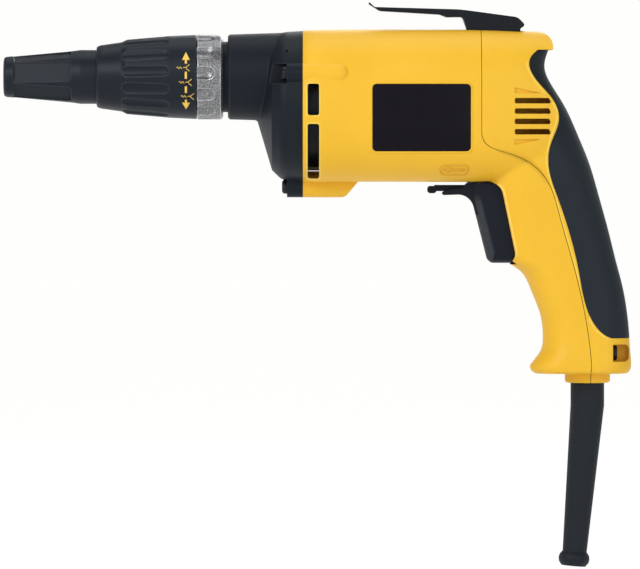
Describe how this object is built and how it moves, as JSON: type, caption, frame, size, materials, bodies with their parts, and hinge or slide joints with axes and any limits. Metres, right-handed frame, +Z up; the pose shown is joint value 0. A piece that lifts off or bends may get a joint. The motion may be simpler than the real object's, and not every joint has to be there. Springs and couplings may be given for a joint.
{
  "type": "drywall screwdriver",
  "caption": "Corded pistol-grip drywall screwdriver with a depth-setting nose, push-in clutch spindle, sliding trigger, reversing lever, belt hook and rubber grip.",
  "frame": {"origin": "centre of the nose's mouth, on the spindle's axis", "axes": "+X from the nose back to the handle along the spindle, +Z up, so the handle hangs towards -Z, +Y across"},
  "size_m": [0.3022, 0.0732, 0.2718],
  "materials": {
    "yellow_plastic": "fine moulded texture",
    "black_plastic": "fine moulded texture",
    "nose_plastic": "satin moulded",
    "black_rubber": "matt rubber",
    "black_casting": "black epoxy paint",
    "cast_zinc": "bead-blasted casting",
    "steel": "ground",
    "black_steel": "black oxide",
    "spring_steel": "drawn wire",
    "laminations": "varnished",
    "copper": "enamelled wire",
    "bronze": "oil-filled sinter",
    "magnet": "plated",
    "carbon": "pressed carbon",
    "pale_plastic": "moulded",
    "grey_plastic": "moulded"
  },
  "bodies": {
    "housing": {"gear_case": "black_casting", "gear_case_screws": "black_steel", "spindle_bush": "bronze", "bearing_plate": "black_casting", "gear_bush": "bronze", "front_bearing": "steel", "rear_bearing": "steel", "stator_core": "laminations", "field_coils": "copper", "fan_baffle": "pale_plastic", "brush_holders": "bronze", "carbon_brushes": "carbon", "brush_springs": "spring_steel", "field_case": "yellow_plastic", "handle_cover": "yellow_plastic", "soft_grip": "black_rubber", "cover_screws": "black_steel", "switch_body": "grey_plastic", "trigger_return_spring": "spring_steel", "reverser_pin": "steel", "belt_hook": "black_steel", "belt_hook_screws": "black_steel", "cord_protector": "black_rubber", "cord_clamp": "grey_plastic", "cord_clamp_screws": "black_steel", "detent_ring": "cast_zinc", "nose_o_ring": "black_rubber"},
    "nose": {"nose_sleeve": "nose_plastic", "collar_retaining_ring": "spring_steel"},
    "collar": {"depth_collar": "nose_plastic"},
    "locator": {"locator_nosepiece": "nose_plastic"},
    "armature": {"armature_shaft": "steel", "armature_core": "laminations", "armature_windings": "copper", "commutator": "copper", "cooling_fan": "grey_plastic"},
    "gear": {"drive_gear": "steel"},
    "clutch": {"clutch_spring": "spring_steel"},
    "spindle": {"spindle": "steel", "bit_holder": "steel", "bit_magnet": "magnet", "bit_holder_clip": "spring_steel"},
    "trigger": {"trigger": "black_plastic"},
    "reverser": {"reversing_lever": "black_plastic"}
  },
  "joints": [
    {"name": "nose_pull_off", "type": "slide", "parent": "housing", "child": "nose", "axis": [-1, 0, 0], "range_m": [0, 0.1]},
    {"name": "collar_turn", "type": "hinge", "parent": "nose", "child": "collar", "pos_m": [0.07, 0, 0], "axis": [1, 0, 0], "range_deg": [-360, 360]},
    {"name": "locator_travel", "type": "slide", "parent": "nose", "child": "locator", "axis": [1, 0, 0], "range_m": [-0.0025, 0.0025]},
    {"name": "armature_spin", "type": "hinge", "parent": "housing", "child": "armature", "pos_m": [0.18, 0, -0.0141], "axis": [1, 0, 0], "continuous": true},
    {"name": "gear_spin", "type": "hinge", "parent": "housing", "child": "gear", "pos_m": [0.135, 0, 0], "axis": [1, 0, 0], "continuous": true},
    {"name": "spindle_spin", "type": "hinge", "parent": "housing", "child": "clutch", "pos_m": [0.12, 0, 0], "axis": [1, 0, 0], "continuous": true},
    {"name": "spindle_push", "type": "slide", "parent": "clutch", "child": "spindle", "axis": [1, 0, 0], "range_m": [0, 0.002], "stiffness_N_per_m": 1500, "springref_m": -0.004, "deforming": ["clutch_spring"]},
    {"name": "trigger_pull", "type": "slide", "parent": "housing", "child": "trigger", "axis": [1, 0, 0], "range_m": [0, 0.0065], "stiffness_N_per_m": 800, "springref_m": -0.007, "deforming": ["trigger_return_spring"]},
    {"name": "reverser_swing", "type": "hinge", "parent": "housing", "child": "reverser", "pos_m": [0.231, 0, -0.0535], "axis": [0, 0, 1], "range_deg": [-11, 11]}
  ],
  "couplings": [
    {"joint": "locator_travel", "follows": "collar_turn", "m_per_rad": 0.00039789},
    {"joint": "gear_spin", "follows": "armature_spin", "ratio": -0.20513},
    {"joint": "spindle_spin", "follows": "armature_spin", "ratio": -0.20513}
  ]
}
